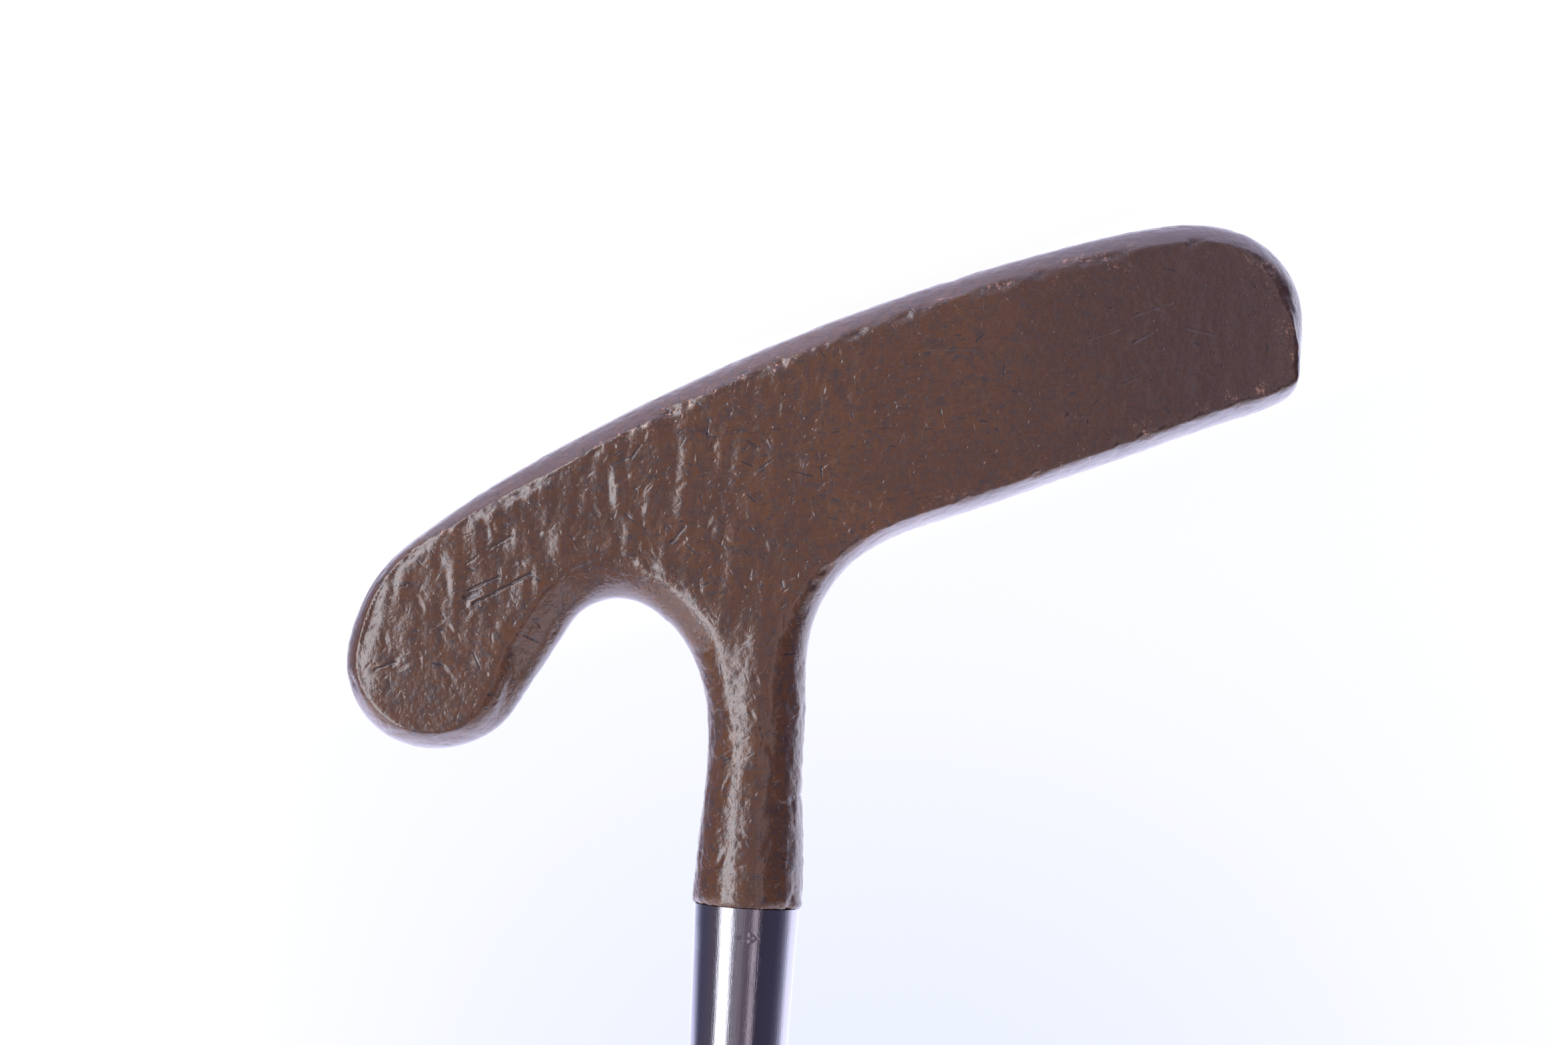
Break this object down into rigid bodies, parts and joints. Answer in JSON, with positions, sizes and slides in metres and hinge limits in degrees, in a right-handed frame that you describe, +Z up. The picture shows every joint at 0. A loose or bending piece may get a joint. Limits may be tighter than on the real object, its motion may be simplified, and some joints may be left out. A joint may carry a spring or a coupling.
{
  "type": "golf putter",
  "caption": "Two-way centre-shafted blade putter: a flat-faced cast bronze head with a hooked heel, on a stepped steel shaft with a leather-wrapped grip and a domed butt cap.",
  "frame": {"origin": "the point where the sole touches the ground in the address position, at mid-thickness of the blade", "axes": "+Z up from the ground. +X along the blade from toe to heel, towards the player, so the shaft leans 22 degrees from +Z towards +X. The two hitting faces look along -Y and +Y, each tilted up 2 degrees."},
  "size_m": [0.4087, 0.027, 0.8278],
  "materials": {
    "bronze": "worn brown patina, glossy, with bare copper-coloured nicks at the edges",
    "adhesive": "cured, translucent amber",
    "chromed_steel": "bright chrome with fine lengthwise brushing",
    "plug_wood": "bare turned hardwood",
    "paper_tape": "creped two-sided tape",
    "rubber_sleeve": "matt moulded rubber",
    "wrap_leather": "dark brown calfskin strip with rows of small perforations",
    "vinyl_tape": "thin black tape",
    "black_plastic": "satin black moulding",
    "plated_screw": "zinc plated"
  },
  "bodies": {
    "root": {"head": "bronze", "hosel_bond": "adhesive", "shaft": "chromed_steel", "butt_plug": "plug_wood", "grip_tape": "paper_tape", "underlisting": "rubber_sleeve", "leather_wrap": "wrap_leather", "wrap_end_tape": "vinyl_tape", "grip_collar": "black_plastic", "butt_cap": "black_plastic", "cap_screw": "plated_screw"}
  },
  "joints": []
}
